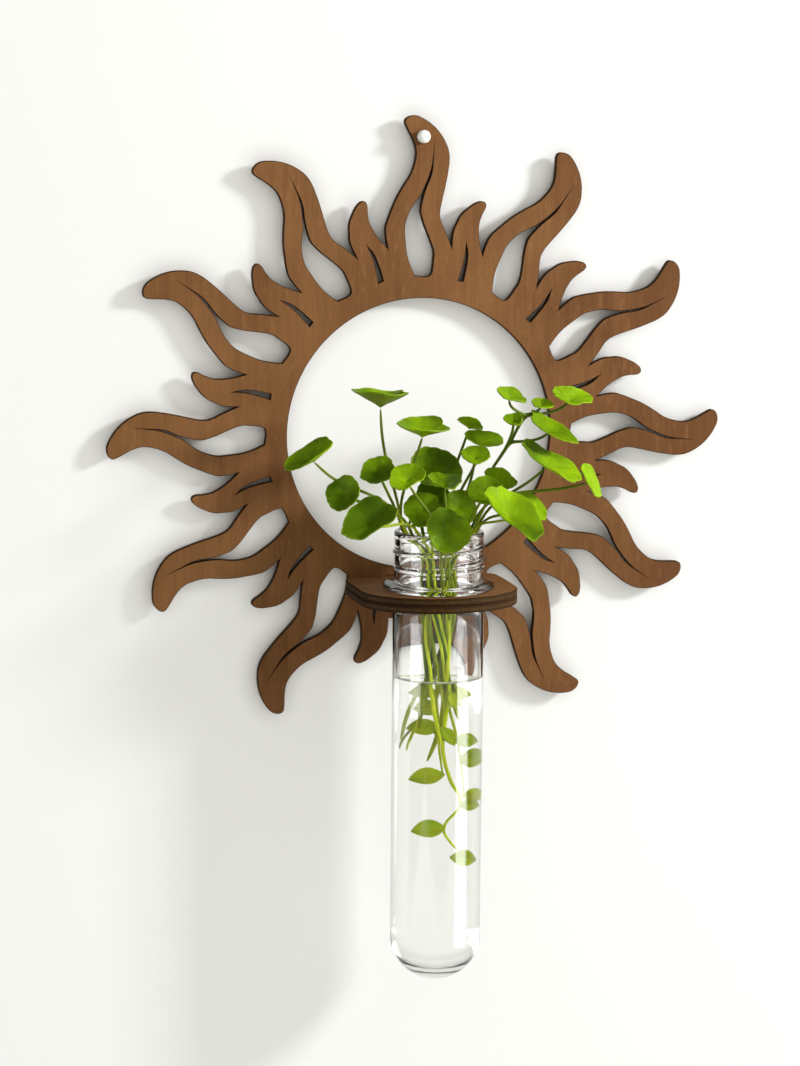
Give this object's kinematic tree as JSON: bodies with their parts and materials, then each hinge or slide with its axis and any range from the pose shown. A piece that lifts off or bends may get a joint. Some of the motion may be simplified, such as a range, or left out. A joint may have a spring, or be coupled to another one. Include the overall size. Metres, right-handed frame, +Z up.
{
  "type": "wall propagation station",
  "caption": "Plywood sun plaque hung on a wall nail, with a ring shelf that holds a clear test-tube vase of round-leaved cuttings rooting in water.",
  "frame": {"origin": "axis of the hanging nail, in the plane of the wall and of the sun's back face", "axes": "+X right as seen from the room, +Y into the wall, +Z up"},
  "size_m": [0.2808, 0.1031, 0.3801],
  "materials": {
    "plywood": "brown stain, laser-burnt edges",
    "nail_steel": "plain",
    "white_plastic": "gloss",
    "clear_plastic": "clear moulded",
    "leaf": "living leaf, slightly glossy",
    "stalk": "living stalk"
  },
  "bodies": {
    "nail": {"nail_pin": "nail_steel", "nail_head": "white_plastic"},
    "plaque": {"sun_plate": "plywood", "shelf_upper_layer": "plywood", "shelf_lower_layer": "plywood"},
    "tube": {"clear_tube": "clear_plastic"},
    "cuttings": {"leaf_01": "leaf", "leaf_02": "leaf", "leaf_03": "leaf", "leaf_04": "leaf", "leaf_05": "leaf", "leaf_06": "leaf", "leaf_07": "leaf", "leaf_08": "leaf", "leaf_09": "leaf", "leaf_10": "leaf", "leaf_11": "leaf", "leaf_12": "leaf", "leaf_13": "leaf", "leaf_14": "leaf", "leaf_15": "leaf", "leaf_16": "leaf", "leaf_17": "leaf", "leaf_18": "leaf", "leaf_19": "leaf", "leaf_20": "leaf", "leaf_21": "leaf", "leaf_22": "leaf", "leaf_stalk_01": "stalk", "leaf_stalk_02": "stalk", "leaf_stalk_03": "stalk", "leaf_stalk_04": "stalk", "leaf_stalk_05": "stalk", "leaf_stalk_06": "stalk", "leaf_stalk_07": "stalk", "leaf_stalk_08": "stalk", "leaf_stalk_09": "stalk", "leaf_stalk_10": "stalk", "leaf_stalk_11": "stalk", "leaf_stalk_12": "stalk", "leaf_stalk_13": "stalk", "leaf_stalk_14": "stalk", "leaf_stalk_15": "stalk", "leaf_stalk_16": "stalk", "leaf_stalk_17": "stalk", "leaf_stalk_18": "stalk", "leaf_stalk_19": "stalk", "leaf_stalk_20": "stalk", "leaf_stalk_21": "stalk", "leaf_stalk_22": "stalk", "sprig_leaf_1": "leaf", "sprig_leaf_2": "leaf", "sprig_leaf_3": "leaf", "sprig_leaf_4": "leaf", "sprig_leaf_5": "leaf", "sprig_stem": "stalk", "trailing_shoot_1": "stalk", "trailing_shoot_2": "stalk", "trailing_shoot_3": "stalk"}
  },
  "joints": [
    {"name": "plaque_swing", "type": "hinge", "parent": "nail", "child": "plaque", "pos_m": [0, 0, 0], "axis": [0, 1, 0], "range_deg": [-15, 15]},
    {"name": "tube_lift", "type": "slide", "parent": "plaque", "child": "tube", "axis": [0, 0, 1], "range_m": [0, 0.185]},
    {"name": "cuttings_lift", "type": "slide", "parent": "tube", "child": "cuttings", "axis": [0, 0, 1], "range_m": [0, 0.155]}
  ]
}
